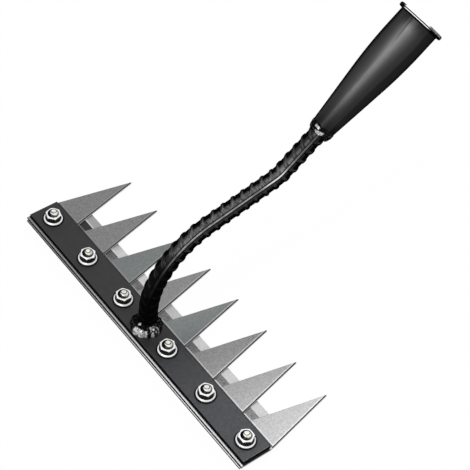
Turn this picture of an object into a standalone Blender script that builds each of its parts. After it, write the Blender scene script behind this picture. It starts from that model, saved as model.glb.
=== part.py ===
"""The head of a weeding rake.

Two flat steel blades hang under a flat clamp bar on six bolts. The upper blade is cut into long teeth
and the lower one has a straight ground edge. A bent length of ribbed reinforcing bar is welded to the
middle of the clamp bar, and its other end is welded into a tapered socket for the handle.

The pieces are drawn with x along the clamp bar, y towards the tooth tips and z up, from the middle of
the clamp bar's top. The finished head is then tipped forward on to its bolt heads and tooth tips, the
way it lies on the ground, with the origin under its middle. Lengths are in metres, angles in degrees.
"""

import math

import bmesh
import bpy
from mathutils import Matrix, Vector

# Space left between two pieces that touch
SEAT_GAP = 0.0003

# Clamp bar
BAR_LENGTH = 0.330
BAR_WIDTH = 0.030
BAR_THICKNESS = 0.004
BAR_EDGE_ROUND = 0.0004

# Toothed blade, whose tooth sizes are taken at the front edge of the clamp bar
TOOTHED_THICKNESS = 0.0018
TOOTHED_BACK_OVERHANG = 0.0024
TOOTHED_END_OVERHANG = 0.0015
TOOTH_COUNT = 8
TOOTH_LENGTH = 0.076
TOOTH_GAP = 0.0087
TOOTH_TIP_WIDTH = 0.0008
TOOTH_ROOT_RADIUS = 0.0036

# Straight blade, as long as the clamp bar, with one bevel ground on the upper side of its front edge.
# Its front corners are cut off along the outer teeth, a little inside them.
STRAIGHT_THICKNESS = 0.0016
STRAIGHT_BACK_OVERHANG = 0.0036
STRAIGHT_REACH = 0.0227
GROUND_BEVEL_WIDTH = 0.0101
GROUND_EDGE_THICKNESS = 0.0003
CORNER_INSET = 0.0006

# Bolts and flange nuts
BOLT_DIAMETER = 0.008
BOLTS_EACH_SIDE = 3
BOLT_FROM_MIDDLE = 0.034
BOLT_FROM_END = 0.0165
BOLT_PROTRUSION = 0.0018
BOLT_END_CHAMFER = 0.0009
BOLT_DIMPLE_RADIUS = 0.0020
BOLT_DIMPLE_DEPTH = 0.0006
HEX_ACROSS_FLATS = 0.013
HEX_CHAMFER_ANGLE = 30.0
BOLT_HEAD_HEIGHT = 0.0053
NUT_HEIGHT = 0.0077
NUT_COUNTERSINK = 0.0011
FLANGE_DIAMETER = 0.0176
FLANGE_RIM_HEIGHT = 0.0014
FLANGE_CONE_HEIGHT = 0.0029
NUT_TURNS = (42.0, 17.0, 32.0, 33.0, 35.0, 0.0)
BOLT_TURNS = (12.0, 47.0, 5.0, 28.0, 51.0, 20.0)

# Neck, a ribbed bar bent twice in the plane across the middle of the clamp bar
NECK_FOOT_OFFSET = 0.0025
NECK_RISE = 0.0253
NECK_FOOT_BEND_RADIUS = 0.0763
NECK_RUN_ANGLE = 13.7
NECK_RUN = 0.0716
NECK_SOCKET_BEND_RADIUS = 0.030
NECK_SOCKET_ANGLE = 39.8
NECK_STRAIGHT_TO_SOCKET = 0.0515
NECK_INSERTION = 0.012
NECK_CORE_RADIUS = 0.0079
RIB_HEIGHT = 0.0010
RIB_START = 0.0160
RIB_PITCH = 0.01083
RIB_FOOT_WIDTH = 0.0058
RIB_CREST_WIDTH = 0.0020
RIB_LEAN = 0.0056
RIB_LEAN_TURN = 14.0
LONG_RIB_HEIGHT = 0.0009
LONG_RIB_FOOT_WIDTH = 0.0032
LONG_RIB_CREST_WIDTH = 0.0016
LONG_RIB_ROLL = 41.0

# Handle socket, a cone that runs into a straight mouth with a rolled lip
SOCKET_LENGTH = 0.1267
SOCKET_WALL = 0.0023
SOCKET_MOUTH_RADIUS = 0.0201
SOCKET_CONE_LENGTH = 0.0807
SOCKET_SHOULDER_BLEND = 0.024
LIP_RADIUS = 0.0237
LIP_LENGTH = 0.004
LIP_ROUND = 0.0011
LIP_FILLET = 0.0009
MOUTH_CHAMFER = 0.0008

# Weld beads, each laid on thicker on its heavy side, an angle from +x
FOOT_WELD_WIDTH = 0.0046
FOOT_WELD_HEIGHT = 0.0058
FOOT_WELD_HEAVY_SIDE = -50.0
SOCKET_WELD_WIDTH = 0.0024
SOCKET_WELD_LENGTH = 0.0062
SOCKET_WELD_HEAVY_SIDE = 10.0
WELD_HEAVY_SHARE = 0.50
WELD_LUMPS = 5
WELD_LUMP_SHARE = 0.08
WELD_RIPPLES = 16
WELD_RIPPLE_SHARE = 0.05

# Number of flat sides that stand for a round shape
HOLE_SIDES = 20
FASTENER_SIDES = 24
SOCKET_SIDES = 40
NECK_SIDES_BETWEEN_LONG_RIBS = 8
WELD_SIDES = 48

# Sizes that follow from the ones above
BAR_FRONT = BAR_WIDTH / 2
BAR_BACK = -BAR_WIDTH / 2
TOOTHED_TOP = -BAR_THICKNESS - SEAT_GAP
TOOTHED_BOTTOM = TOOTHED_TOP - TOOTHED_THICKNESS
STRAIGHT_TOP = TOOTHED_BOTTOM - SEAT_GAP
STRAIGHT_BOTTOM = STRAIGHT_TOP - STRAIGHT_THICKNESS
BOLT_HEAD_TOP = STRAIGHT_BOTTOM - SEAT_GAP
BOLT_HEAD_BOTTOM = BOLT_HEAD_TOP - BOLT_HEAD_HEIGHT
NUT_BOTTOM = SEAT_GAP
NUT_TOP = NUT_BOTTOM + NUT_HEIGHT
TOOTHED_LENGTH = BAR_LENGTH + 2 * TOOTHED_END_OVERHANG
TOOTH_TIP = BAR_FRONT + TOOTH_LENGTH
TOOTH_PITCH = (TOOTHED_LENGTH + TOOTH_GAP) / TOOTH_COUNT
TOOTH_WIDTH = TOOTH_PITCH - TOOTH_GAP
TOOTH_SIDE_SLOPE = (TOOTH_WIDTH - TOOTH_TIP_WIDTH) / 2 / TOOTH_LENGTH
HOLE_RADIUS = BOLT_DIAMETER / 2 + SEAT_GAP
HEX_CHAMFER_RADIUS = 0.95 * HEX_ACROSS_FLATS / 2
NECK_OUTER_RADIUS = NECK_CORE_RADIUS + max(RIB_HEIGHT, LONG_RIB_HEIGHT)
NECK_SLEEVE_RADIUS = NECK_OUTER_RADIUS + SEAT_GAP
SOCKET_NARROW_RADIUS = NECK_SLEEVE_RADIUS + SOCKET_WALL

# Length of a cutter past the face that it cuts through
CUT_PAST = 0.002


def clear_scene():
    for obj in list(bpy.data.objects):
        bpy.data.objects.remove(obj, do_unlink=True)


def new_collection(name):
    collection = bpy.data.collections.new(name)
    bpy.context.scene.collection.children.link(collection)
    return collection


def new_material(name, colour, roughness, metallic):
    material = bpy.data.materials.new(name)
    material.use_nodes = True
    shader = material.node_tree.nodes["Principled BSDF"]
    shader.inputs["Base Color"].default_value = (*colour, 1.0)
    shader.inputs["Roughness"].default_value = roughness
    shader.inputs["Metallic"].default_value = metallic
    return material


def new_object(name, mesh, collection):
    obj = bpy.data.objects.new(name, mesh)
    collection.objects.link(obj)
    return obj


def mesh_from(name, vertices, faces, edges=()):
    mesh = bpy.data.meshes.new(name)
    mesh.from_pydata(vertices, edges, faces)
    return mesh


def finished_mesh(obj):
    """The object's mesh with its modifiers applied."""
    evaluated = obj.evaluated_get(bpy.context.evaluated_depsgraph_get())
    return bpy.data.meshes.new_from_object(evaluated)


def shade_round(mesh, sharp_angle=35.0):
    mesh.shade_smooth()
    mesh.set_sharp_from_angle(angle=math.radians(sharp_angle))


def circle_points(centre_x, centre_y, radius, sides):
    steps = [2 * math.pi * step / sides for step in range(sides)]
    return [(centre_x + radius * math.cos(turn), centre_y + radius * math.sin(turn)) for turn in steps]


def turned(name, profile, sides, closed, collection):
    """A turned shape from (radius, height) points that run down its outer side."""
    count = len(profile)
    last = count if closed else count - 1
    edges = [(step, (step + 1) % count) for step in range(last)]
    mesh = mesh_from(name, [(radius, 0.0, height) for radius, height in profile], (), edges)
    obj = new_object(name, mesh, collection)
    screw = obj.modifiers.new("turn", "SCREW")
    screw.axis = "Z"
    screw.angle = 2 * math.pi
    screw.steps = sides
    screw.render_steps = sides
    screw.use_merge_vertices = True
    screw.merge_threshold = 0.00001
    return obj


def add_boolean(obj, other, operation):
    modifier = obj.modifiers.new(operation.lower(), "BOOLEAN")
    modifier.operation = operation
    modifier.solver = "EXACT"
    modifier.object = other
    other.hide_render = True
    other.display_type = "WIRE"


def bolt_places():
    """The bolts' places along the bar, from the left end to the right, clear of the neck's foot."""
    outer = BAR_LENGTH / 2 - BOLT_FROM_END
    spacing = (outer - BOLT_FROM_MIDDLE) / (BOLTS_EACH_SIDE - 1)
    right = [BOLT_FROM_MIDDLE + step * spacing for step in range(BOLTS_EACH_SIDE)]
    return [-place for place in reversed(right)] + right


def plate(name, outline, top, thickness, collection):
    """A flat plate between two levels, with a hole at each bolt."""
    curve = bpy.data.curves.new(name, "CURVE")
    curve.dimensions = "2D"
    curve.fill_mode = "BOTH"
    curve.extrude = thickness / 2
    holes = [circle_points(place, 0.0, HOLE_RADIUS, HOLE_SIDES) for place in bolt_places()]
    for loop in [outline, *holes]:
        spline = curve.splines.new("POLY")
        spline.points.add(len(loop) - 1)
        for point, (x, y) in zip(spline.points, loop):
            point.co = (x, y, 0.0, 1.0)
        spline.use_cyclic_u = True
    drawn = new_object(name + "_drawing", curve, collection)
    drawn.location.z = top - thickness / 2
    bpy.context.view_layer.update()

    mesh = finished_mesh(drawn)
    body = bmesh.new()
    body.from_mesh(mesh)
    bmesh.ops.remove_doubles(body, verts=body.verts, dist=0.00001)
    bmesh.ops.recalc_face_normals(body, faces=body.faces)
    body.to_mesh(mesh)
    body.free()
    obj = new_object(name, mesh, collection)
    obj.matrix_world = drawn.matrix_world
    bpy.data.objects.remove(drawn, do_unlink=True)
    return obj


def make_clamp_bar(collection):
    half = BAR_LENGTH / 2
    outline = [(-half, BAR_BACK), (half, BAR_BACK), (half, BAR_FRONT), (-half, BAR_FRONT)]
    obj = plate("clamp_bar", outline, 0.0, BAR_THICKNESS, collection)
    bevel = obj.modifiers.new("rolled_edges", "BEVEL")
    bevel.width = BAR_EDGE_ROUND
    bevel.segments = 1
    bevel.limit_method = "ANGLE"
    bevel.angle_limit = math.radians(60.0)
    return obj


def tooth_gap(middle):
    """The rounded bottom of the gap between two teeth, from its right side to its left."""
    side_angle = math.atan(TOOTH_SIDE_SLOPE)
    gap_at_centre = 2 * TOOTH_ROOT_RADIUS / math.cos(side_angle)
    centre = BAR_FRONT - (TOOTH_GAP - gap_at_centre) / (2 * TOOTH_SIDE_SLOPE)
    steps = 6
    sweep = math.pi - 2 * side_angle
    turns = [-side_angle - sweep * step / steps for step in range(steps + 1)]
    radius = TOOTH_ROOT_RADIUS
    return [(middle + radius * math.cos(turn), centre + radius * math.sin(turn)) for turn in turns]


def toothed_outline():
    """Runs along the back, then from the right tooth to the left one."""
    half = TOOTHED_LENGTH / 2
    back = BAR_BACK - TOOTHED_BACK_OVERHANG
    outline = [(-half, back), (half, back), (half, BAR_FRONT)]
    for tooth in reversed(range(TOOTH_COUNT)):
        middle = (tooth - (TOOTH_COUNT - 1) / 2) * TOOTH_PITCH
        outline.append((middle + TOOTH_TIP_WIDTH / 2, TOOTH_TIP))
        outline.append((middle - TOOTH_TIP_WIDTH / 2, TOOTH_TIP))
        if tooth > 0:
            outline.extend(tooth_gap(middle - TOOTH_PITCH / 2))
    outline.append((-half, BAR_FRONT))
    return outline


def make_toothed_blade(collection):
    return plate("toothed_blade", toothed_outline(), TOOTHED_TOP, TOOTHED_THICKNESS, collection)


def make_straight_blade(collection, cutters):
    half = BAR_LENGTH / 2
    back = BAR_BACK - STRAIGHT_BACK_OVERHANG
    front = BAR_FRONT + STRAIGHT_REACH
    outer_side = TOOTHED_LENGTH / 2 - CORNER_INSET
    corner = outer_side - TOOTH_SIDE_SLOPE * STRAIGHT_REACH
    shoulder = min(front, BAR_FRONT + (outer_side - half) / TOOTH_SIDE_SLOPE)
    right = [(half, back), (half, shoulder), (corner, front)]
    outline = right + [(-x, y) for x, y in reversed(right)]
    obj = plate("straight_blade", outline, STRAIGHT_TOP, STRAIGHT_THICKNESS, collection)

    # The wedge of steel that grinding takes off, carried on past the blade's front and ends
    slope = (STRAIGHT_THICKNESS - GROUND_EDGE_THICKNESS) / GROUND_BEVEL_WIDTH
    heel = front - GROUND_BEVEL_WIDTH
    section = [
        (heel - CUT_PAST, STRAIGHT_TOP + slope * CUT_PAST),
        (front + CUT_PAST, STRAIGHT_BOTTOM + GROUND_EDGE_THICKNESS - slope * CUT_PAST),
        (front + CUT_PAST, STRAIGHT_TOP + CUT_PAST),
        (heel - CUT_PAST, STRAIGHT_TOP + CUT_PAST),
    ]
    end = half + CUT_PAST
    corners = [(x, y, z) for x in (-end, end) for y, z in section]
    sides = [(step, (step + 1) % 4, (step + 1) % 4 + 4, step + 4) for step in range(4)]
    faces = [*sides, (3, 2, 1, 0), (4, 5, 6, 7)]
    wedge = new_object("ground_off_wedge", mesh_from("ground_off_wedge", corners, faces), cutters)
    face_outward(wedge.data)
    add_boolean(obj, wedge, "DIFFERENCE")
    return obj


def face_outward(mesh):
    body = bmesh.new()
    body.from_mesh(mesh)
    bmesh.ops.recalc_face_normals(body, faces=body.faces)
    body.to_mesh(mesh)
    body.free()


def hexagon(name, low, high, collection):
    """A six-sided prism with one corner towards +x."""
    mesh = bpy.data.meshes.new(name)
    body = bmesh.new()
    corner_radius = HEX_ACROSS_FLATS / 2 / math.cos(math.radians(30.0))
    middle = Matrix.Translation((0.0, 0.0, (low + high) / 2))
    bmesh.ops.create_cone(
        body,
        cap_ends=True,
        segments=6,
        radius1=corner_radius,
        radius2=corner_radius,
        depth=high - low,
        matrix=middle @ Matrix.Rotation(math.radians(30.0), 4, "Z"),
    )
    body.to_mesh(mesh)
    body.free()
    return new_object(name, mesh, collection)


def corner_cone(name, face_height, other_end, collection):
    """The turned shape that rounds off a hexagon's corners at its free face."""
    reach = HEX_ACROSS_FLATS
    drop = (reach - HEX_CHAMFER_RADIUS) * math.tan(math.radians(HEX_CHAMFER_ANGLE))
    if face_height > other_end:
        profile = [
            (0.0, face_height),
            (HEX_CHAMFER_RADIUS, face_height),
            (reach, face_height - drop),
            (reach, other_end),
            (0.0, other_end),
        ]
    else:
        profile = [
            (0.0, other_end),
            (reach, other_end),
            (reach, face_height + drop),
            (HEX_CHAMFER_RADIUS, face_height),
            (0.0, face_height),
        ]
    return turned(name, profile, FASTENER_SIDES, False, collection)


def bolt_mesh(cutters):
    head = hexagon("bolt_shape", BOLT_HEAD_BOTTOM - CUT_PAST, BOLT_HEAD_TOP, cutters)
    corners = corner_cone("bolt_corners", BOLT_HEAD_BOTTOM, BOLT_HEAD_TOP + CUT_PAST, cutters)
    radius = BOLT_DIAMETER / 2
    end = NUT_TOP + BOLT_PROTRUSION
    inside_head = (BOLT_HEAD_TOP + BOLT_HEAD_BOTTOM) / 2
    profile = [
        (0.0, end - BOLT_DIMPLE_DEPTH),
        (BOLT_DIMPLE_RADIUS, end),
        (radius - BOLT_END_CHAMFER, end),
        (radius, end - BOLT_END_CHAMFER),
        (radius, inside_head),
        (0.0, inside_head),
    ]
    shank = turned("bolt_shank", profile, FASTENER_SIDES, False, cutters)
    add_boolean(head, corners, "INTERSECT")
    add_boolean(head, shank, "UNION")
    mesh = finished_mesh(head)
    for helper in (head, corners, shank):
        bpy.data.objects.remove(helper, do_unlink=True)
    shade_round(mesh, 25.0)
    return mesh


def nut_mesh(cutters):
    inside_flange = NUT_BOTTOM + FLANGE_RIM_HEIGHT / 2
    body = hexagon("nut_shape", inside_flange, NUT_TOP + CUT_PAST, cutters)
    corners = corner_cone("nut_corners", NUT_TOP, inside_flange - CUT_PAST, cutters)
    flange_radius = FLANGE_DIAMETER / 2
    rim_round = FLANGE_RIM_HEIGHT / 4
    flange_profile = [
        (0.0, NUT_BOTTOM + FLANGE_CONE_HEIGHT),
        (HEX_CHAMFER_RADIUS, NUT_BOTTOM + FLANGE_CONE_HEIGHT),
        (flange_radius - rim_round, NUT_BOTTOM + FLANGE_RIM_HEIGHT),
        (flange_radius, NUT_BOTTOM + FLANGE_RIM_HEIGHT - rim_round),
        (flange_radius, NUT_BOTTOM + rim_round),
        (flange_radius - rim_round, NUT_BOTTOM),
        (0.0, NUT_BOTTOM),
    ]
    flange = turned("nut_flange", flange_profile, FASTENER_SIDES, False, cutters)
    wide = HOLE_RADIUS + NUT_COUNTERSINK
    bore_profile = [
        (0.0, NUT_TOP + CUT_PAST),
        (wide, NUT_TOP + CUT_PAST),
        (wide, NUT_TOP),
        (HOLE_RADIUS, NUT_TOP - NUT_COUNTERSINK),
        (HOLE_RADIUS, NUT_BOTTOM - CUT_PAST),
        (0.0, NUT_BOTTOM - CUT_PAST),
    ]
    bore = turned("nut_bore", bore_profile, FASTENER_SIDES, False, cutters)
    add_boolean(body, corners, "INTERSECT")
    add_boolean(body, flange, "UNION")
    add_boolean(body, bore, "DIFFERENCE")
    mesh = finished_mesh(body)
    for helper in (body, corners, flange, bore):
        bpy.data.objects.remove(helper, do_unlink=True)
    shade_round(mesh, 25.0)
    return mesh


def make_fasteners(name, mesh, turns, collection):
    """One bolt or nut at each bolt place, each stopped at its own turn."""
    made = []
    for number, place in enumerate(bolt_places()):
        obj = new_object(f"{name}_{number + 1}", mesh, collection)
        obj.location.x = place
        obj.rotation_euler.z = math.radians(turns[number % len(turns)])
        made.append(obj)
    return made


def neck_pieces():
    """The neck's centre line as straights (length, None) and bends (length, radius), with the angle it
    starts each at. A positive radius bends it down towards the teeth."""
    run = math.radians(NECK_RUN_ANGLE)
    socket = math.radians(NECK_SOCKET_ANGLE)
    first_bend = (math.pi / 2 - run) * NECK_FOOT_BEND_RADIUS
    second_bend = (socket - run) * NECK_SOCKET_BEND_RADIUS
    last = NECK_STRAIGHT_TO_SOCKET + NECK_INSERTION
    return [
        (NECK_RISE, None, math.pi / 2),
        (first_bend, NECK_FOOT_BEND_RADIUS, math.pi / 2),
        (NECK_RUN, None, run),
        (second_bend, -NECK_SOCKET_BEND_RADIUS, run),
        (last, None, socket),
    ]


def neck_length():
    return sum(length for length, radius, angle in neck_pieces())


def neck_point(distance):
    """A point on the centre line and the angle of the line there, above the y axis."""
    point = Vector((0.0, NECK_FOOT_OFFSET, SEAT_GAP))
    for length, radius, angle in neck_pieces():
        part = min(distance, length)
        if radius is None:
            end_angle = angle
            point = point + part * Vector((0.0, math.cos(angle), math.sin(angle)))
        else:
            end_angle = angle - part / radius
            step_y = radius * (math.sin(angle) - math.sin(end_angle))
            step_z = radius * (math.cos(end_angle) - math.cos(angle))
            point = point + Vector((0.0, step_y, step_z))
        distance -= part
        if distance <= 0.0:
            break
    return point, end_angle


def neck_turns():
    """Angles round the neck, counted from one long rib, with points on the foot and crest of each."""
    crest = math.asin(LONG_RIB_CREST_WIDTH / 2 / NECK_CORE_RADIUS)
    foot = math.asin(LONG_RIB_FOOT_WIDTH / 2 / NECK_CORE_RADIUS)
    sides = NECK_SIDES_BETWEEN_LONG_RIBS
    between = [foot + (math.pi - 2 * foot) * step / sides for step in range(sides + 1)]
    half = [(crest, True), *[(turn, False) for turn in between], (math.pi - crest, True)]
    return half + [(turn + math.pi, on_long_rib) for turn, on_long_rib in half]


def neck_stations():
    """Places along the neck as (distance, lean, rib share). Each is a leaning slice across the bar: a
    slice on a rib's crest has share 1 and one at its foot has share 0."""
    length = neck_length()
    stations = [(0.0, 0.0, 0.0)]
    middle = RIB_START
    while middle + RIB_FOOT_WIDTH / 2 + RIB_LEAN < length:
        stations.append((middle - RIB_FOOT_WIDTH / 2, RIB_LEAN, 0.0))
        stations.append((middle - RIB_CREST_WIDTH / 2, RIB_LEAN, 1.0))
        stations.append((middle + RIB_CREST_WIDTH / 2, RIB_LEAN, 1.0))
        stations.append((middle + RIB_FOOT_WIDTH / 2, RIB_LEAN, 0.0))
        middle += RIB_PITCH
    stations.append((length, 0.0, 0.0))
    return stations


def make_neck_bar(collection):
    """The ribbed bar. Its crescent ribs lean back from one long rib and fade out where they reach it."""
    vertices = []
    turns = neck_turns()
    roll = math.radians(LONG_RIB_ROLL)
    lean_turn = math.radians(RIB_LEAN_TURN)
    stations = neck_stations()
    for distance, lean, share in stations:
        for turn, on_long_rib in turns:
            radius = NECK_CORE_RADIUS
            if on_long_rib:
                radius += LONG_RIB_HEIGHT
            else:
                radius += RIB_HEIGHT * share * math.sqrt(abs(math.sin(turn)))
            point, angle = neck_point(distance - lean * math.cos(turn - lean_turn))
            upward = Vector((0.0, -math.sin(angle), math.cos(angle)))
            sideways = Vector((1.0, 0.0, 0.0))
            outward = math.cos(turn + roll) * upward + math.sin(turn + roll) * sideways
            vertices.append(point + radius * outward)
    around = len(turns)
    faces = [list(range(around))]
    for ring in range(len(stations) - 1):
        start = ring * around
        for step in range(around):
            following = (step + 1) % around
            faces.append((start + step, start + around + step, start + around + following, start + following))
    faces.append(list(range(len(vertices) - 1, len(vertices) - around - 1, -1)))
    mesh = mesh_from("neck_bar", vertices, faces)
    face_outward(mesh)
    shade_round(mesh, 50.0)
    return new_object("neck_bar", mesh, collection)


def make_weld(name, width, length, heavy_side, collection):
    """A lumpy bead round the neck. It is full against the piece at height 0, and its section is a
    quarter of an oval that runs out along the neck, downwards where the length is below 0."""
    section_steps = 4
    vertices = []
    for side in range(WELD_SIDES):
        turn = 2 * math.pi * side / WELD_SIDES
        size = 1.0 + WELD_HEAVY_SHARE * math.cos(turn - math.radians(heavy_side))
        size += WELD_LUMP_SHARE * math.cos(WELD_LUMPS * turn)
        size += WELD_RIPPLE_SHARE * math.cos(WELD_RIPPLES * turn)
        section = [(NECK_SLEEVE_RADIUS, 0.0)]
        for step in range(section_steps + 1):
            rise = math.pi / 2 * step / section_steps
            reach = NECK_SLEEVE_RADIUS + width * size * math.cos(rise)
            section.append((reach, length * size * math.sin(rise)))
        for radius, level in section:
            vertices.append((radius * math.cos(turn), radius * math.sin(turn), level))
    ring = section_steps + 2
    faces = []
    for side in range(WELD_SIDES):
        start = side * ring
        other = (side + 1) % WELD_SIDES * ring
        for step in range(ring):
            following = (step + 1) % ring
            faces.append((start + step, other + step, other + following, start + following))
    mesh = mesh_from(name, vertices, faces)
    face_outward(mesh)
    shade_round(mesh, 60.0)
    return new_object(name, mesh, collection)


def make_foot_weld(collection):
    heavy_side = FOOT_WELD_HEAVY_SIDE
    obj = make_weld("foot_weld", FOOT_WELD_WIDTH, FOOT_WELD_HEIGHT, heavy_side, collection)
    obj.location = (0.0, NECK_FOOT_OFFSET, SEAT_GAP)
    return obj


def socket_start():
    """The middle of the socket's narrow end, and its tilt from upright about x."""
    point, angle = neck_point(neck_length() - NECK_INSERTION)
    return point, angle - math.pi / 2


def make_socket_weld(collection):
    heavy_side = SOCKET_WELD_HEAVY_SIDE
    obj = make_weld("socket_weld", SOCKET_WELD_WIDTH, -SOCKET_WELD_LENGTH, heavy_side, collection)
    point, tilt = socket_start()
    obj.rotation_euler.x = tilt
    obj.location = point - SEAT_GAP * Vector((0.0, -math.sin(tilt), math.cos(tilt)))
    return obj


def socket_side(inset):
    """The socket's side from the mouth end down to the narrow end, moved in by the wall's thickness."""
    growth = (SOCKET_MOUTH_RADIUS - SOCKET_NARROW_RADIUS) / SOCKET_CONE_LENGTH
    blend_start = Vector((SOCKET_MOUTH_RADIUS, SOCKET_CONE_LENGTH + SOCKET_SHOULDER_BLEND))
    corner = Vector((SOCKET_MOUTH_RADIUS, SOCKET_CONE_LENGTH))
    cone_top = SOCKET_CONE_LENGTH - SOCKET_SHOULDER_BLEND
    blend_end = Vector((SOCKET_NARROW_RADIUS + growth * cone_top, cone_top))
    steps = 5
    points = []
    for step in range(steps + 1):
        share = step / steps
        first = blend_start.lerp(corner, share)
        second = corner.lerp(blend_end, share)
        radius, height = first.lerp(second, share)
        points.append((radius - inset, height))
    points.append((SOCKET_NARROW_RADIUS - inset, 0.0))
    return points


def make_handle_socket(collection):
    lip_bottom = SOCKET_LENGTH - LIP_LENGTH
    lip = [
        (LIP_RADIUS - LIP_ROUND, SOCKET_LENGTH),
        (LIP_RADIUS - 0.3 * LIP_ROUND, SOCKET_LENGTH - 0.3 * LIP_ROUND),
        (LIP_RADIUS, SOCKET_LENGTH - LIP_ROUND),
        (LIP_RADIUS, lip_bottom + LIP_ROUND),
        (LIP_RADIUS - 0.3 * LIP_ROUND, lip_bottom + 0.3 * LIP_ROUND),
        (LIP_RADIUS - LIP_ROUND, lip_bottom),
        (SOCKET_MOUTH_RADIUS + LIP_FILLET, lip_bottom),
        (SOCKET_MOUTH_RADIUS + 0.3 * LIP_FILLET, lip_bottom - 0.3 * LIP_FILLET),
        (SOCKET_MOUTH_RADIUS, lip_bottom - LIP_FILLET),
    ]
    bore = SOCKET_MOUTH_RADIUS - SOCKET_WALL
    mouth = [(bore, SOCKET_LENGTH - MOUTH_CHAMFER), (bore + MOUTH_CHAMFER, SOCKET_LENGTH)]
    profile = [*lip, *socket_side(0.0), *reversed(socket_side(SOCKET_WALL)), *mouth]
    obj = turned("handle_socket", profile, SOCKET_SIDES, True, collection)
    shade_round(obj.data)
    point, tilt = socket_start()
    obj.location = point
    obj.rotation_euler.x = tilt
    return obj


def lay_on_ground(parts, collection):
    """Tips the head about x until its bolt heads and its tooth tips share the ground, then puts the
    origin under the middle of its outline."""
    ground = bpy.data.objects.new("head", None)
    collection.objects.link(ground)
    for part in parts:
        part.parent = ground
    height = TOOTHED_BOTTOM - BOLT_HEAD_BOTTOM
    ground.rotation_euler.x = -math.atan2(height, TOOTH_TIP - HEX_CHAMFER_RADIUS)
    bpy.context.view_layer.update()
    points = []
    for part in parts:
        mesh = finished_mesh(part)
        points.extend(part.matrix_world @ vertex.co for vertex in mesh.vertices)
        bpy.data.meshes.remove(mesh)
    nearest = min(point.y for point in points)
    farthest = max(point.y for point in points)
    ground.location.y = -(nearest + farthest) / 2
    ground.location.z = -min(point.z for point in points)


def paint(parts, material):
    for part in parts:
        part.data.materials.clear()
        part.data.materials.append(material)


def build_weeding_rake():
    clear_scene()
    collection = new_collection("weeding_rake")
    cutters = new_collection("cutters")
    clamp_bar = make_clamp_bar(collection)
    toothed_blade = make_toothed_blade(collection)
    straight_blade = make_straight_blade(collection, cutters)
    bolts = make_fasteners("bolt", bolt_mesh(cutters), BOLT_TURNS, collection)
    nuts = make_fasteners("flange_nut", nut_mesh(cutters), NUT_TURNS, collection)
    neck_bar = make_neck_bar(collection)
    foot_weld = make_foot_weld(collection)
    socket_weld = make_socket_weld(collection)
    handle_socket = make_handle_socket(collection)

    paint([clamp_bar], new_material("bar_paint", (0.045, 0.045, 0.048), 0.45, 0.0))
    paint([toothed_blade], new_material("brushed_blade", (0.52, 0.53, 0.54), 0.35, 1.0))
    paint([straight_blade], new_material("ground_blade", (0.60, 0.60, 0.61), 0.30, 1.0))
    paint([*bolts, *nuts], new_material("bright_zinc", (0.78, 0.79, 0.76), 0.22, 1.0))
    paint([neck_bar], new_material("neck_paint", (0.020, 0.020, 0.021), 0.35, 0.0))
    paint([foot_weld, socket_weld], new_material("weld_metal", (0.38, 0.37, 0.36), 0.40, 1.0))
    paint([handle_socket], new_material("socket_paint", (0.030, 0.030, 0.032), 0.30, 0.0))

    welded = [neck_bar, foot_weld, socket_weld, handle_socket]
    lay_on_ground([clamp_bar, toothed_blade, straight_blade, *bolts, *nuts, *welded], collection)


build_weeding_rake()
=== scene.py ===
import math

import bmesh
import bpy
from mathutils import Matrix, Vector, noise


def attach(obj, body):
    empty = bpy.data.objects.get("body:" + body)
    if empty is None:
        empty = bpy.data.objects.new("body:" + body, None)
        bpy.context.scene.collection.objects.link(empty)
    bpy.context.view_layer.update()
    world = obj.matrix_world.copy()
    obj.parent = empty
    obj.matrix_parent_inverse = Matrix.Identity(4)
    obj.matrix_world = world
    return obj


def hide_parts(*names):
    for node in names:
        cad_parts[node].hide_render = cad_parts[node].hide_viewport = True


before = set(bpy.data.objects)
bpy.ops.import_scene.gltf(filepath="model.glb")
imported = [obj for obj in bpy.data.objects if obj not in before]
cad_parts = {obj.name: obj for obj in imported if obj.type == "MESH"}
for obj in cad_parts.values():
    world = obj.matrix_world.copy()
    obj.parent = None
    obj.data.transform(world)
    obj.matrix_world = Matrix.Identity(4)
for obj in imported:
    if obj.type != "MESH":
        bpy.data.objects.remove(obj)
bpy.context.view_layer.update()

# ---- Clamp bar ----
# A length of hot-rolled flat bar, cut square and painted in satin charcoal. Everything else is fixed
# to it. It is drawn flat, with x along the bar, y towards the teeth and z up from the middle of its
# top, and the whole head is then tipped forward the way it lies on the ground.
BAR_LENGTH = 0.330
BAR_WIDTH = 0.030
BAR_THICKNESS = 0.004
BAR_EDGE_ROUND = 0.0005
BOLT_PLACES = (-0.1485, -0.09125, -0.034, 0.034, 0.09125, 0.1485)
HOLE_RADIUS = 0.0043
HOLE_SIDES = 64
HEAD_PLACE = (0.0, -0.146445, 0.014091)
HEAD_TILT = math.radians(-5.0528)
HEAD = Matrix.Translation(HEAD_PLACE) @ Matrix.Rotation(HEAD_TILT, 4, "X")


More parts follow.
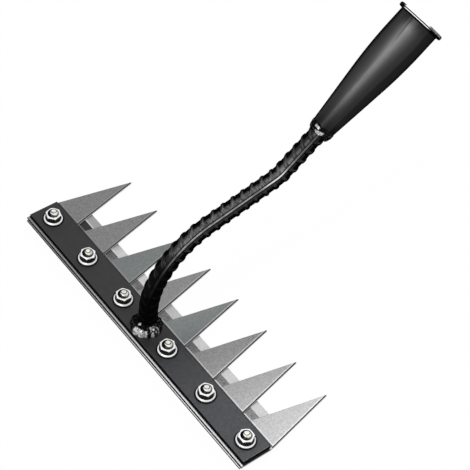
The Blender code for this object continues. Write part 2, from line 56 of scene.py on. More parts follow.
class Value:
    """A number or a vector on its way through a material's nodes."""

    def __init__(self, tree, socket=None):
        self.tree = tree
        self.socket = socket

    def node(self, kind, settings, values, output=0):
        """Adds a node: its settings first, then its sockets, each a plain value or a Value."""
        added = self.tree.nodes.new(kind)
        for name, setting in settings.items():
            setattr(added, name, setting)
        for name, value in values.items():
            if isinstance(value, Value):
                self.tree.links.new(value.socket, added.inputs[name])
            else:
                added.inputs[name].default_value = value
        return Value(self.tree, added.outputs[output])

    def joined(self, first, second, operation):
        if self.socket.type == "VECTOR":
            return self.node("ShaderNodeVectorMath", {"operation": operation}, {0: first, 1: second})
        return self.node("ShaderNodeMath", {"operation": operation}, {0: first, 1: second})

    def __add__(self, other):
        return self.joined(self, other, "ADD")

    def __radd__(self, other):
        return self.joined(other, self, "ADD")

    def __sub__(self, other):
        return self.joined(self, other, "SUBTRACT")

    def __rsub__(self, other):
        return self.joined(other, self, "SUBTRACT")

    def __mul__(self, other):
        return self.joined(self, other, "MULTIPLY")

    def __rmul__(self, other):
        return self.joined(other, self, "MULTIPLY")

    def __pow__(self, other):
        return self.joined(self, other, "POWER")

    def size(self):
        return self.joined(self, 0.0, "ABSOLUTE")

    def larger(self, other):
        return self.joined(self, other, "MAXIMUM")

    def part(self, axis):
        return self.node("ShaderNodeSeparateXYZ", {}, {"Vector": self}, axis)

    def step(self, low, high):
        """0 below low, 1 above high and a soft rise between. It falls instead if low is above high."""
        settings = {"interpolation_type": "SMOOTHSTEP"}
        if low > high:
            return 1 - self.step(high, low)
        return self.node("ShaderNodeMapRange", settings, {"Value": self, "From Min": low, "From Max": high})

    def between(self, first, second):
        """The first colour where this is 0 and the second where it is 1."""
        return self.node("ShaderNodeMix", {"data_type": "RGBA"}, {0: self, 6: first, 7: second}, 2)

    def tilted(self, angle):
        """The same place measured from axes that are turned about x by the angle."""
        values = {"Vector": self, "Angle": -angle}
        return self.node("ShaderNodeVectorRotate", {"rotation_type": "X_AXIS"}, values)

    def noise(self, scale, detail=3.0, roughness=0.5):
        """Cloudy noise around 0.5, with this many clouds to the millimetre."""
        values = {"Vector": self, "Scale": scale, "Detail": detail, "Roughness": roughness}
        return self.node("ShaderNodeTexNoise", {}, values)

    def bump(self, height, strength=1.0):
        """The surface's direction with this height, in millimetres, on it."""
        values = {"Height": height, "Distance": 0.001, "Strength": strength}
        return self.node("ShaderNodeBump", {}, values)


def new_material(name):
    """A material, its main shader and the place on the flat-drawn head in millimetres."""
    material = bpy.data.materials.new(name)
    material.use_nodes = True
    tree = material.node_tree
    shader = tree.nodes["Principled BSDF"]
    place = Value(tree).node("ShaderNodeTexCoord", {}, {}, "Object") - HEAD_PLACE
    return material, shader, place.tilted(HEAD_TILT) * (1000.0, 1000.0, 1000.0)


def feed(shader, values):
    tree = shader.id_data
    for name, value in values.items():
        if isinstance(value, Value):
            tree.links.new(value.socket, shader.inputs[name])
        else:
            shader.inputs[name].default_value = value


def upward(shader):
    """1 where the surface faces straight up, 0 where it is upright."""
    return Value(shader.id_data).node("ShaderNodeTexCoord", {}, {}, "Normal").part(2)


def paint_light_and_shade(shader, mask, colour, roughness):
    """Paints shade where the mask is 1, by swapping the finish for a dull one in the given colour; with a
    pale colour it paints light.
    """
    tree = shader.id_data
    dull = tree.nodes.new("ShaderNodeBsdfPrincipled")
    feed(dull, {"Base Color": colour, "Roughness": roughness, "IOR": 1.0})
    shaders = {0: mask, 1: Value(tree, shader.outputs[0]), 2: Value(tree, dull.outputs[0])}
    mixed = mask.node("ShaderNodeMixShader", {}, shaders)
    tree.links.new(mixed.socket, tree.nodes["Material Output"].inputs["Surface"])


def add_piece(name, body, material, slot, *nodes, sharp_angle=30.0):
    """Puts a finished mesh in place of the model's solids."""
    mesh = bpy.data.meshes.new(name)
    bmesh.ops.recalc_face_normals(body, faces=body.faces)
    bmesh.ops.transform(body, matrix=HEAD, verts=body.verts)
    for edge in body.edges:
        edge.smooth = edge.is_manifold and edge.calc_face_angle() < math.radians(sharp_angle)
    body.to_mesh(mesh)
    body.free()
    mesh.materials.append(material)
    piece = bpy.data.objects.new(name, mesh)
    bpy.context.scene.collection.objects.link(piece)
    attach(piece, "root")
    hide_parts(*nodes)
    return piece


def circle(x, y, radius, sides):
    turns = [2 * math.pi * side / sides for side in range(sides)]
    return [Vector((x + radius * math.cos(turn), y + radius * math.sin(turn))) for turn in turns]


def inset(outline, distance):
    """An anticlockwise outline moved in by a distance."""
    moved = []
    for number, corner in enumerate(outline):
        arriving = (corner - outline[number - 1]).normalized()
        leaving = (outline[(number + 1) % len(outline)] - corner).normalized()
        first = Vector((-arriving.y, arriving.x))
        middle = (first + Vector((-leaving.y, leaving.x))).normalized()
        moved.append(corner + middle * distance / middle.dot(first))
    return moved


def join_rings(body, rings, closed=False):
    """Smooth faces between rings of points, each ring the same length."""
    made = [[body.verts.new(point) for point in ring] for ring in rings]
    pairs = list(zip(made, made[1:]))
    if closed:
        pairs.append((made[-1], made[0]))
    for above, below in pairs:
        for step in range(len(above)):
            following = (step + 1) % len(above)
            face = body.faces.new((above[step], below[step], below[following], above[following]))
            face.smooth = True
    return made


def ring_edges(body, ring):
    return [body.edges.get((corner, ring[(step + 1) % len(ring)])) for step, corner in enumerate(ring)]


def plate(outline, top, bottom, edge_round, edge_steps):
    """A flat plate with rounded edges and a hole at each bolt."""
    body = bmesh.new()
    levels = []
    for step in range(edge_steps + 1):
        turn = math.pi / 2 * step / edge_steps
        levels.append((edge_round * (1 - math.sin(turn)), edge_round * (1 - math.cos(turn))))
    rings = [[(x, y, top - drop) for x, y in inset(outline, space)] for space, drop in levels]
    rings += [[(x, y, bottom + drop) for x, y in inset(outline, space)] for space, drop in reversed(levels)]
    sides = join_rings(body, rings)
    upper = ring_edges(body, sides[0])
    lower = ring_edges(body, sides[-1])
    for place in BOLT_PLACES:
        hole = circle(place, 0.0, HOLE_RADIUS, HOLE_SIDES)
        wall = join_rings(body, [[(x, y, level) for x, y in hole] for level in (top, bottom)])
        upper += ring_edges(body, wall[0])
        lower += ring_edges(body, wall[1])
    for edges in (upper, lower):
        bmesh.ops.triangle_fill(body, use_beauty=True, edges=edges, normal=(0.0, 0.0, 1.0))
    return body


def from_bolt(place, along=0.0, across=0.0):
    """How far a place is from the nearest bolt, or from a point this far past it."""
    spacing = 1000 * (BOLT_PLACES[5] - BOLT_PLACES[4])
    past = place.part(0).size() - 1000 * BOLT_PLACES[3] + spacing / 2
    offset = past.joined(past, spacing, "MODULO") - spacing / 2
    offset = offset * past.joined(place.part(0), 0.0, "SIGN") - along
    return (offset ** 2.0 + (place.part(1) - across) ** 2.0) ** 0.5


material, shader, place = new_material("charcoal_bar_paint")
along, across = place.part(0), place.part(1)
near_edge = along.size().step(163.6, 165.0).larger(across.size().step(13.9, 15.0))
mottle = place.noise(0.22, 4.0, 0.6)
orange_peel = place.noise(1.9, 2.0)
speckle = place.noise(1.0, 3.0, 0.7).step(0.40, 0.62)
# Painted sheen: the bar's top turns paler and bluer towards its right end, standing in for the lamps'
# reflection.
bar_sheen = along.step(8.0, 112.0)
# Pale patches along the bar's edges, partly wear and partly a painted highlight, with more of them along the
# right end's edge.
end_highlight = along.step(163.8, 164.2) * place.noise(0.4, 4.0, 0.7).step(0.46, 0.54)
edge_wear_and_highlight = (near_edge * place.noise(0.55, 5.0, 0.7)).step(0.46, 0.60).larger(end_highlight)
colour = mottle.step(0.3, 0.7).between((0.0085, 0.0085, 0.0100, 1.0), (0.0145, 0.0145, 0.0165, 1.0))
bar_sheen_colour = mottle.step(0.3, 0.7).between((0.030, 0.031, 0.037, 1.0), (0.050, 0.052, 0.060, 1.0))
colour = bar_sheen.between(colour, bar_sheen_colour)
colour = (0.22 * speckle).between(colour, (0.0083, 0.0083, 0.0092, 1.0))
colour = edge_wear_and_highlight.between(colour, (0.100, 0.100, 0.104, 1.0))
scorch = (along ** 2.0 + across ** 2.0) ** 0.5
scorch = (scorch + 14 * mottle).step(42.0, 26.0)
colour = (0.75 * scorch).between(colour, (0.0067, 0.0062, 0.0050, 1.0))
# Painted shadow: a dark ring round each nut's flange and a dark line along the bar's front edge.
nut_and_edge_shadow = from_bolt(place).step(10.8, 9.8).larger(0.6 * across.step(14.1, 14.4))
feed(shader, {
    "Base Color": nut_and_edge_shadow.between(colour, (0.0033, 0.0033, 0.0033, 1.0)),
    "Roughness": 0.38 + 0.12 * mottle,
    "Coat Weight": 0.15,
    "Coat Roughness": 0.30,
    "Normal": place.bump(0.020 * orange_peel + 0.08 * mottle),
})
# Painted shade: the bar's sides and the rings round the nuts turn dull and nearly black.
paint_light_and_shade(shader, upward(shader).step(0.75, 0.35).larger(0.8 * nut_and_edge_shadow), (0.0033, 0.0033, 0.0042, 1.0), 0.8)
half = BAR_LENGTH / 2
front = BAR_WIDTH / 2
bar_outline = [Vector(point) for point in ((-half, -front), (half, -front), (half, front), (-half, front))]
body = plate(bar_outline, 0.0, -BAR_THICKNESS, BAR_EDGE_ROUND, 4)
add_piece("clamp_bar_painted", body, material, "bar_paint", "clamp_bar")

# ---- Toothed blade ----
# Sheet steel of 1.8 mm, cut into eight long pointed teeth and finely brushed. It is clamped under the
# bar, and its back edge and ends show past it.
TOOTHED_TOP = -0.0043
TOOTHED_BOTTOM = -0.0061
TOOTHED_LENGTH = 0.333
TOOTHED_BACK = -0.0174
TOOTH_COUNT = 8
TOOTH_TIP = 0.091
TOOTH_TIP_WIDTH = 0.0008
TOOTH_GAP = 0.0087
TOOTH_ROOT_RADIUS = 0.0036
TOOTHED_EDGE_ROUND = 0.00018
TOOTH_PITCH = (TOOTHED_LENGTH + TOOTH_GAP) / TOOTH_COUNT
TOOTH_SIDE_SLOPE = (TOOTH_PITCH - TOOTH_GAP - TOOTH_TIP_WIDTH) / 2 / (TOOTH_TIP - BAR_WIDTH / 2)


def tooth_root(middle):
    """The round bottom of a gap, from its right side to its left."""
    lean = math.atan(TOOTH_SIDE_SLOPE)
    depth = (TOOTH_GAP - 2 * TOOTH_ROOT_RADIUS / math.cos(lean)) / (2 * TOOTH_SIDE_SLOPE)
    centre = Vector((middle, BAR_WIDTH / 2 - depth))
    steps = 24
    turns = [-lean - (math.pi - 2 * lean) * step / steps for step in range(steps + 1)]
    return [centre + TOOTH_ROOT_RADIUS * Vector((math.cos(turn), math.sin(turn))) for turn in turns]


half = TOOTHED_LENGTH / 2
outline = [Vector((-half, TOOTHED_BACK)), Vector((half, TOOTHED_BACK)), Vector((half, front))]
for tooth in reversed(range(TOOTH_COUNT)):
    middle = (tooth - (TOOTH_COUNT - 1) / 2) * TOOTH_PITCH
    outline.append(Vector((middle + TOOTH_TIP_WIDTH / 2, TOOTH_TIP)))
    outline.append(Vector((middle - TOOTH_TIP_WIDTH / 2, TOOTH_TIP)))
    if tooth > 0:
        outline += tooth_root(middle - TOOTH_PITCH / 2)
outline.append(Vector((-half, front)))


def from_tooth_side(place):
    """How far a place is inside the right-hand side of its tooth."""
    along = place.part(0) + 500 * TOOTH_COUNT * TOOTH_PITCH
    from_middle = along.joined(along, 1000 * TOOTH_PITCH, "MODULO") - 500 * TOOTH_PITCH
    half_width = 500 * TOOTH_TIP_WIDTH + TOOTH_SIDE_SLOPE * (1000 * TOOTH_TIP - place.part(1))
    return half_width - from_middle


def towards(shader, direction):
    """1 where the surface faces straight in a direction, -1 where it faces away from it."""
    values = {0: Value(shader.id_data).node("ShaderNodeTexCoord", {}, {}, "Normal"), 1: direction}
    return Value(shader.id_data).node("ShaderNodeVectorMath", {"operation": "DOT_PRODUCT"}, values, 1)


material, shader, place = new_material("brushed_blade_steel")
along, across = place.part(0), place.part(1)
grain = (place * (1.0, 0.4, 1.0)).noise(1.1, 3.0, 0.75)
fine_grain = (place * (2.2, 0.16, 2.2)).noise(14.0, 2.0, 0.6)
scuff = (place * (0.35, 0.35, 0.35)).noise(1.3, 6.0, 0.7).step(0.60, 0.78)
# Painted sheen: the blade turns paler towards its right end, standing in for the lamps' reflection.
blade_sheen = along.step(70.0, 165.0)
tone = 0.8 * grain + 0.2 * fine_grain
colour = tone.step(0.3, 0.7).between((0.233, 0.233, 0.237, 1.0), (0.400, 0.400, 0.404, 1.0))
blade_sheen_colour = tone.step(0.3, 0.7).between((0.317, 0.317, 0.321, 1.0), (0.491, 0.491, 0.496, 1.0))
colour = blade_sheen.between(colour, blade_sheen_colour)
blued = ((along + 21.36).size() - 42.71).size().step(23.0, 19.0)
colour = (0.45 * blued).between(colour, (0.192, 0.233, 0.225, 1.0))
colour = (0.20 * scuff).between(colour, (0.233, 0.242, 0.250, 1.0))
# Painted shade: a dark strip where the blade's back shows past the bar and at its ends, a dark line just
# inside each tooth's right side and one beside the bar's front edge.
shaded_back = across.step(-14.8, -15.1).larger(along.size().step(164.7, 165.1) * across.step(14.5, 13.0))
inside = from_tooth_side(place)
side_shade = inside.step(1.35, 1.15) * across.step(16.0, 17.0)
shade_lines = (shaded_back * across.step(-15.6, -15.4)).larger(across.step(-17.1, -17.2)).larger(side_shade)
shade_lines = shade_lines.larger(0.85 * across.step(18.0, 17.8) * across.step(16.0, 17.0))
# Painted highlights: pale non-metal strips along the back past the bar, inside each tooth's right side and
# beside the bar's front edge, turning white towards the right end.
back_highlight = across.step(-15.4, -15.6) * along.step(165.8, 165.3)
side_highlight = inside.step(2.5, 2.1) * across.step(16.0, 17.0)
bar_edge_highlight = across.step(19.2, 18.8) * across.step(16.0, 17.0)
bright_mask = back_highlight.larger(0.40 * side_highlight).larger(0.40 * bar_edge_highlight)
highlight_colour = along.step(-110.0, 90.0).between((0.367, 0.367, 0.371, 1.0), (1.0, 1.0, 1.0, 1.0))
colour = bright_mask.between(colour, highlight_colour)
feed(shader, {
    "Base Color": shade_lines.between(colour, (0.0050, 0.0050, 0.0050, 1.0)),
    "Metallic": 1 - 0.95 * bright_mask.larger(shade_lines),
    "Roughness": 0.27 + 0.10 * tone + 0.05 * scuff,
    "Normal": place.bump(0.012 * tone),
})
# Painted light and shade on the cut edges: nearly black, except the right sides of the teeth, which are
# painted pale.
cut_edge = upward(shader).size().step(0.55, 0.20)
right_side = towards(shader, (1.0, 0.0, 0.0)).step(0.5, 0.7)
cut_edge_shading = right_side.between((0.0083, 0.0083, 0.0092, 1.0), (0.580, 0.580, 0.580, 1.0))
paint_light_and_shade(shader, cut_edge, cut_edge_shading, 0.6)
body = plate(outline, TOOTHED_TOP, TOOTHED_BOTTOM, TOOTHED_EDGE_ROUND, 3)
add_piece("toothed_blade_brushed", body, material, "brushed_blade", "toothed_blade")

# ---- Straight blade ----
# A strip of 1.6 mm sheet steel under the teeth. Its flat part keeps the dull skin of the mill, and
# one long bevel is ground bright along the front edge. The front corners are cut off along the teeth.
STRAIGHT_TOP = -0.0064
STRAIGHT_BOTTOM = -0.0080
STRAIGHT_BACK = -0.0186
STRAIGHT_FRONT = 0.0377
BEVEL_HEEL = 0.0276
GROUND_EDGE = -0.0077
STRAIGHT_CORNER = 0.16094
STRAIGHT_SHOULDER = 0.01912
STRAIGHT_EDGE_ROUND = 0.0001


def ground_bevel(body, heel, front, top, edge):
    """Moves down the top of the plate in front of the bevel's heel."""
    parts = [*body.verts, *body.edges, *body.faces]
    bmesh.ops.bisect_plane(body, geom=parts, dist=1e-7, plane_co=(0, heel, 0), plane_no=(0, 1, 0))
    for vertex in body.verts:
        if vertex.co.y > heel:
            limit = top + (edge - top) * (vertex.co.y - heel) / (front - heel)
            vertex.co.z = min(vertex.co.z, limit)


material, shader, place = new_material("ground_blade_steel")
along, across = place.part(0), place.part(1)
ground = across.step(27.55, 27.75)
ground_grain = (place * (1.0, 0.5, 1.0)).noise(1.1, 3.0, 0.75)
mill_grain = (place * (1.0, 0.6, 1.0)).noise(0.9, 4.0, 0.75)
patch = place.noise(0.05, 3.0, 0.5)
mill_colour = mill_grain.step(0.3, 0.7).between((0.108, 0.108, 0.112, 1.0), (0.300, 0.300, 0.304, 1.0))
ground_colour = ground_grain.step(0.3, 0.7).between((0.525, 0.525, 0.533, 1.0), (0.730, 0.730, 0.738, 1.0))
colour = ground.between(mill_colour, ground_colour)
# Painted shade: the strip turns darker towards its left end, on the bevel and on the flat.
shaded_left_end = along.step(-80.0, -100.0)
colour = (0.80 * shaded_left_end * across.step(28.7, 29.3)).between(colour, (0.275, 0.275, 0.279, 1.0))
colour = (0.90 * shaded_left_end * (1 - ground)).between(colour, (0.045, 0.045, 0.047, 1.0))
# Painted shade: a dark strip along the back past the teeth and at the ends, and a dark band beside the bar's
# front edge.
shaded_back = across.step(-17.1, -17.4).larger(along.size().step(164.2, 164.6) * across.step(14.5, 13.0))
shade_lines = (shaded_back * across.step(-17.6, -17.4)).larger(across.step(-18.42, -18.48))
shade_lines = shade_lines.larger(0.85 * across.step(18.9, 18.7) * across.step(14.0, 15.0))
# Painted highlights: a pale non-metal strip along the back and a line beside the bar's front edge, turning
# white towards the right end.
back_highlight = across.step(-17.4, -17.6)
bar_edge_highlight = across.step(20.2, 19.8) * across.step(14.0, 15.0)
bright_mask = back_highlight.larger(0.6 * bar_edge_highlight)
highlight_colour = along.step(-110.0, 90.0).between((0.300, 0.300, 0.304, 1.0), (1.0, 1.0, 1.0, 1.0))
colour = bright_mask.between(colour, highlight_colour)
feed(shader, {
    "Base Color": shade_lines.between(colour, (0.0050, 0.0050, 0.0050, 1.0)),
    "Metallic": 1 - 0.95 * ground.larger(bright_mask).larger(shade_lines),
    "Roughness": 0.34 - 0.06 * ground + 0.08 * patch,
    "Normal": place.bump(0.012 * ground * ground_grain + 0.016 * (1 - ground) * mill_grain),
})
half = BAR_LENGTH / 2
right = [(half, STRAIGHT_BACK), (half, STRAIGHT_SHOULDER), (STRAIGHT_CORNER, STRAIGHT_FRONT)]
outline = [Vector(point) for point in right] + [Vector((-x, y)) for x, y in reversed(right)]
# Painted shade: the cut edges are nearly black.
cut_edge = upward(shader).size().step(0.55, 0.20)
paint_light_and_shade(shader, cut_edge, (0.0083, 0.0083, 0.0092, 1.0), 0.6)
body = plate(outline, STRAIGHT_TOP, STRAIGHT_BOTTOM, STRAIGHT_EDGE_ROUND, 2)
ground_bevel(body, BEVEL_HEEL, STRAIGHT_FRONT, STRAIGHT_TOP, GROUND_EDGE)
add_piece("straight_blade_ground", body, material, "ground_blade", "straight_blade", sharp_angle=4.0)

# ---- Bolts ----
# Six M8 hexagon bolts put in from below, in bright zinc. Each thread comes just through its nut and
# ends in a chamfer and a low round point. Each bolt stopped at its own turn.
BOLT_TURNS = (12, 47, 5, 28, 51, 20)
BOLT_HEAD_TOP = -0.0083
BOLT_HEAD_BOTTOM = -0.0136
BOLT_END = 0.0098
HEAD_MIDDLE_RADIUS = 0.0004
HEAD_EDGE_ROUND = 0.00018
SHANK_RADIUS = 0.0039
SHANK_TOP = 0.0009
THREAD_RADIUS = 0.00396
THREAD_PITCH = 0.00125
THREAD_DEPTH = 0.0006
THREAD_START = 0.0012
THREAD_FLANK = 1.35
THREAD_STEPS = 96
POINT_RADIUS = 0.0034
POINT_HEIGHT = 0.0004
POINT_CHAMFER = 0.0003
POINT_PROFILE = ((0.0002, POINT_HEIGHT), (0.0, 0.0002), (-POINT_CHAMFER, 0.0))
ACROSS_FLATS = 0.013
CORNER_START = 0.006175
SIDES = 96


def hexagon_radius(turn):
    """The reach of a hexagon with one corner at turn 0."""
    past_corner = turn % (math.pi / 3) - math.pi / 6
    return ACROSS_FLATS / 2 / math.cos(past_corner)


def around(radius_and_level):
    """A ring of points, with the radius and the level found for each turn."""
    ring = []
    for side in range(SIDES):
        turn = 2 * math.pi * side / SIDES
        radius, level = radius_and_level(turn)
        ring.append((radius * math.cos(turn), radius * math.sin(turn), level))
    return ring


def soften(body, width, angle):
    """Rounds every edge that bends by more than the angle."""
    sharp = [edge for edge in body.edges if edge.is_manifold and edge.calc_face_angle() > math.radians(angle)]
    bmesh.ops.bevel(body, geom=sharp, offset=width, segments=2, profile=0.6, affect="EDGES")


def hexagon_end(face, away):
    """Rings from the middle of a hexagon's chamfered face out to its sides."""
    slope = math.tan(math.radians(30))

    def edge(turn):
        radius = hexagon_radius(turn)
        return radius, face + away * (radius - CORNER_START) * slope

    return [around(lambda turn: (CORNER_START, face)), around(edge)]


def thread(turn, level):
    """The radius of the thread at one place."""
    along = (level / THREAD_PITCH - turn / (2 * math.pi)) % 1.0
    rib_shade_line = max(0.0, 1 - abs(2 * along - 1) * THREAD_FLANK)
    chamfered = BOLT_END - POINT_HEIGHT - level + POINT_RADIUS + POINT_CHAMFER
    return min(THREAD_RADIUS - THREAD_DEPTH * rib_shade_line, chamfered)


def bolt_body():
    """The head and its smooth shank, then the thread with its point, joined down inside the nut."""
    body = bmesh.new()
    rings = [around(lambda turn: (HEAD_MIDDLE_RADIUS, BOLT_HEAD_BOTTOM)), *hexagon_end(BOLT_HEAD_BOTTOM, 1)]
    rings.append(around(lambda turn: (hexagon_radius(turn), BOLT_HEAD_TOP)))
    rings.append(around(lambda turn: (SHANK_RADIUS, BOLT_HEAD_TOP)))
    rings.append(around(lambda turn: (SHANK_RADIUS, SHANK_TOP)))
    made = join_rings(body, rings)
    body.faces.new(made[0])
    soften(body, HEAD_EDGE_ROUND, 20)
    rise = (BOLT_END - POINT_HEIGHT - THREAD_START) / THREAD_STEPS
    rings = []
    for step in range(THREAD_STEPS + 1):
        level = THREAD_START + step * rise
        rings.append(around(lambda turn: (thread(turn, level), level)))
    for wider, drop in POINT_PROFILE:
        rings.append(around(lambda turn: (POINT_RADIUS + wider, BOLT_END - drop)))
    made = join_rings(body, rings)
    body.faces.new(made[-1])
    bmesh.ops.bridge_loops(body, edges=[edge for edge in body.edges if edge.is_boundary])
    return body


def set_in_bar(body, place, turn):
    """Gives a bolt or a nut its own turn and moves it along the bar to its hole."""
    bmesh.ops.rotate(body, verts=body.verts, matrix=Matrix.Rotation(math.radians(turn), 3, "Z"))
    bmesh.ops.translate(body, verts=body.verts, vec=(place, 0.0, 0.0))


def zinc(name, shading, lows, highs):
    """Bright zinc, painted nearly black as shade where the shading mask says."""
    material, shader, place = new_material(name)
    cloud = place.noise(0.30, 3.0, 0.6)
    pits = place.noise(3.2, 3.0, 0.6)
    scratch = (place * (1.0, 1.0, 0.15)).noise(2.2, 5.0, 0.7).step(0.64, 0.76)
    colour = (0.3 * scratch).between(cloud.step(0.3, 0.7).between(lows, highs), (0.375, 0.367, 0.350, 1.0))
    zinc_shade = shading(shader, place)
    feed(shader, {
        "Base Color": zinc_shade.between(colour, (0.0167, 0.0167, 0.0150, 1.0)),
        "Metallic": 0.15 + 0.75 * zinc_shade,
        "Roughness": 0.20 + 0.12 * cloud + 0.10 * scratch,
        "Normal": place.bump(0.010 * pits + 0.03 * cloud),
    })
    return material


def bolt_shading(shader, place):
    """Painted shade: a curved dark arc on the end, a dark rim on one side, the thread's grooves and all that
    is down in the nut.
    """
    radius, level = from_bolt(place), place.part(2)
    from_far_side = from_bolt(place, -1.15, 1.10)
    end_shade_arc = 0.95 * from_far_side.step(2.1, 2.4) * from_far_side.step(3.2, 2.9)
    left_rim_shade = from_bolt(place, 0.40, 0.50).step(3.35, 3.60)
    grooves = 0.45 * radius.step(3.80, 3.55) * level.step(9.2, 9.0)
    return end_shade_arc.larger(left_rim_shade).larger(grooves).larger(level.step(7.9, 7.6))


material = zinc("bright_zinc_bolt", bolt_shading, (0.583, 0.591, 0.516, 1.0), (1.0, 1.0, 0.95, 1.0))
for number, (place, turn) in enumerate(zip(BOLT_PLACES, BOLT_TURNS), 1):
    body = bolt_body()
    set_in_bar(body, place, turn)
    add_piece(f"bolt_{number}_threaded", body, material, "bright_zinc", f"bolt_{number}")

# ---- Flange nuts ----
# Six M8 nuts, each forged in one with its round flange and plated in bright zinc. The mouth of the
# thread is countersunk and the corners are rounded off at the top.
NUT_TURNS = (42, 17, 32, 33, 35, 0)
NUT_BOTTOM = 0.0003
NUT_TOP = 0.0080
COUNTERSINK_RADIUS = 0.0054
FLANGE_RADIUS = 0.0088
FLANGE_RIM_TOP = 0.0017
FLANGE_CONE_TOP = 0.0032
FLANGE_FILLET = 0.0003
RIM_ROUND = 0.00035
NUT_EDGE_ROUND = 0.00016


def flange_top(radius):
    """The level of the sloping top of the flange."""
    share = (radius - CORNER_START) / (FLANGE_RADIUS - RIM_ROUND - CORNER_START)
    return FLANGE_CONE_TOP + (FLANGE_RIM_TOP - FLANGE_CONE_TOP) * share


def fillet_top(turn):
    """Where the hexagon's side starts to curve out into the flange."""
    return hexagon_radius(turn), flange_top(hexagon_radius(turn)) + FLANGE_FILLET


def fillet_foot(turn):
    """Where that curve meets the slope of the flange."""
    radius = hexagon_radius(turn) + FLANGE_FILLET
    return radius, flange_top(radius)


def nut_body():
    body = bmesh.new()
    depth = COUNTERSINK_RADIUS - HOLE_RADIUS
    rings = [
        around(lambda turn: (HOLE_RADIUS, NUT_TOP - depth)),
        around(lambda turn: (COUNTERSINK_RADIUS, NUT_TOP)),
        *hexagon_end(NUT_TOP, -1),
        around(fillet_top),
        around(fillet_foot),
        around(lambda turn: (FLANGE_RADIUS - RIM_ROUND, FLANGE_RIM_TOP)),
        around(lambda turn: (FLANGE_RADIUS, FLANGE_RIM_TOP - RIM_ROUND)),
        around(lambda turn: (FLANGE_RADIUS, NUT_BOTTOM + RIM_ROUND)),
        around(lambda turn: (FLANGE_RADIUS - RIM_ROUND, NUT_BOTTOM)),
        around(lambda turn: (HOLE_RADIUS, NUT_BOTTOM)),
    ]
    join_rings(body, rings, closed=True)
    soften(body, NUT_EDGE_ROUND, 24)
    return body


def nut_shading(shader, place):
    """Painted shade on the mouth of the thread, darker on one side, and on the six sides and the slope of the
    flange inside its rim.
    """
    radius, level = from_bolt(place), place.part(2)
    mouth = radius.step(5.60, 5.40) * (0.35 + 0.65 * from_bolt(place, 0.55, 0.83).step(4.2, 5.0))
    return (level.step(7.0, 6.6) * radius.step(7.8, 7.6)).larger(mouth)


material = zinc("bright_zinc_nut", nut_shading, (0.93, 0.94, 0.94, 1.0), (1.0, 1.0, 1.0, 1.0))
for number, (place, turn) in enumerate(zip(BOLT_PLACES, NUT_TURNS), 1):
    body = nut_body()
    set_in_bar(body, place, turn)
    add_piece(f"flange_nut_{number}_forged", body, material, "bright_zinc", f"flange_nut_{number}")

# ---- Neck ----
# A length of 16 mm ribbed reinforcing bar, bent cold into a gooseneck and painted gloss black. Its two
# long ribs run the whole way, and between them the crescent ribs lean and fade out at each end.
NECK_FOOT = (0.0, 0.0025, 0.0003)
NECK_CORE_RADIUS = 0.0079
RIB_HEIGHT = 0.0010
RIB_START = 0.0160
RIB_PITCH = 0.01083
RIB_FOOT_WIDTH = 0.0046
RIB_CREST_WIDTH = 0.0014
RIB_LEAN = 0.0056
RIB_LEAN_TURN = math.radians(14.0)
LONG_RIB_HEIGHT = 0.0009
LONG_RIB_FOOT_WIDTH = 0.0032
LONG_RIB_CREST_WIDTH = 0.0016
LONG_RIB_ROLL = math.radians(41.0)
RUN_ANGLE = math.radians(13.7)
SOCKET_ANGLE = math.radians(39.8)
FOOT_BEND = 0.0763
SOCKET_BEND = 0.030
NECK_INSERTION = 0.012
NECK_SIDES = 96
NECK_END_ROUND = 0.0004
FIRST_SLICE = 0.0022
LAST_RIB_ROOM = 0.0005
SLICES_TO_A_RIB = 18
NECK_PIECES = [
    (0.0253, None, math.pi / 2),
    ((math.pi / 2 - RUN_ANGLE) * FOOT_BEND, FOOT_BEND, math.pi / 2),
    (0.0716, None, RUN_ANGLE),
    ((SOCKET_ANGLE - RUN_ANGLE) * SOCKET_BEND, -SOCKET_BEND, RUN_ANGLE),
    (0.0515 + NECK_INSERTION, None, SOCKET_ANGLE),
]
NECK_LENGTH = sum(length for length, radius, angle in NECK_PIECES)
LEFT_OF_NECK = (-0.865, -0.075, 0.497)
RIB_LINE_SLANT = 0.03


def neck_point(distance):
    """A point on the neck's centre line and the angle of the line there."""
    point = Vector(NECK_FOOT)
    for length, radius, angle in NECK_PIECES:
        part = min(distance, length)
        if radius is None:
            end_angle = angle
            point = point + part * Vector((0.0, math.cos(angle), math.sin(angle)))
        else:
            end_angle = angle - part / radius
            step_y = radius * (math.sin(angle) - math.sin(end_angle))
            step_z = radius * (math.cos(end_angle) - math.cos(angle))
            point = point + Vector((0.0, step_y, step_z))
        distance -= part
        if distance <= 0.0:
            break
    return point, end_angle


def rounded_step(distance, inner, outer):
    """1 within the inner distance, 0 past the outer one, with a soft flank between."""
    share = min(1.0, max(0.0, (outer - distance) / (outer - inner)))
    return share * share * (3 - 2 * share)


def neck_radius(turn, along):
    """The ribbed surface at one turn, counted from a long rib, and one distance along its slices."""
    past = (along - RIB_START + RIB_PITCH / 2) % RIB_PITCH - RIB_PITCH / 2
    last = RIB_START + RIB_PITCH * int((NECK_LENGTH - RIB_LEAN - RIB_FOOT_WIDTH / 2 - RIB_START) / RIB_PITCH)
    on_rib = RIB_START - RIB_PITCH / 2 < along < last + RIB_PITCH / 2
    crescent = 0.0
    if on_rib:
        crescent = rounded_step(abs(past), RIB_CREST_WIDTH / 2, RIB_FOOT_WIDTH / 2)
        crescent *= RIB_HEIGHT * math.sqrt(abs(math.sin(turn)))
    sideways = abs(math.sin(turn)) * NECK_CORE_RADIUS
    long_rib = LONG_RIB_HEIGHT * rounded_step(sideways, LONG_RIB_CREST_WIDTH / 2, LONG_RIB_FOOT_WIDTH / 2)
    return NECK_CORE_RADIUS + max(crescent, long_rib)


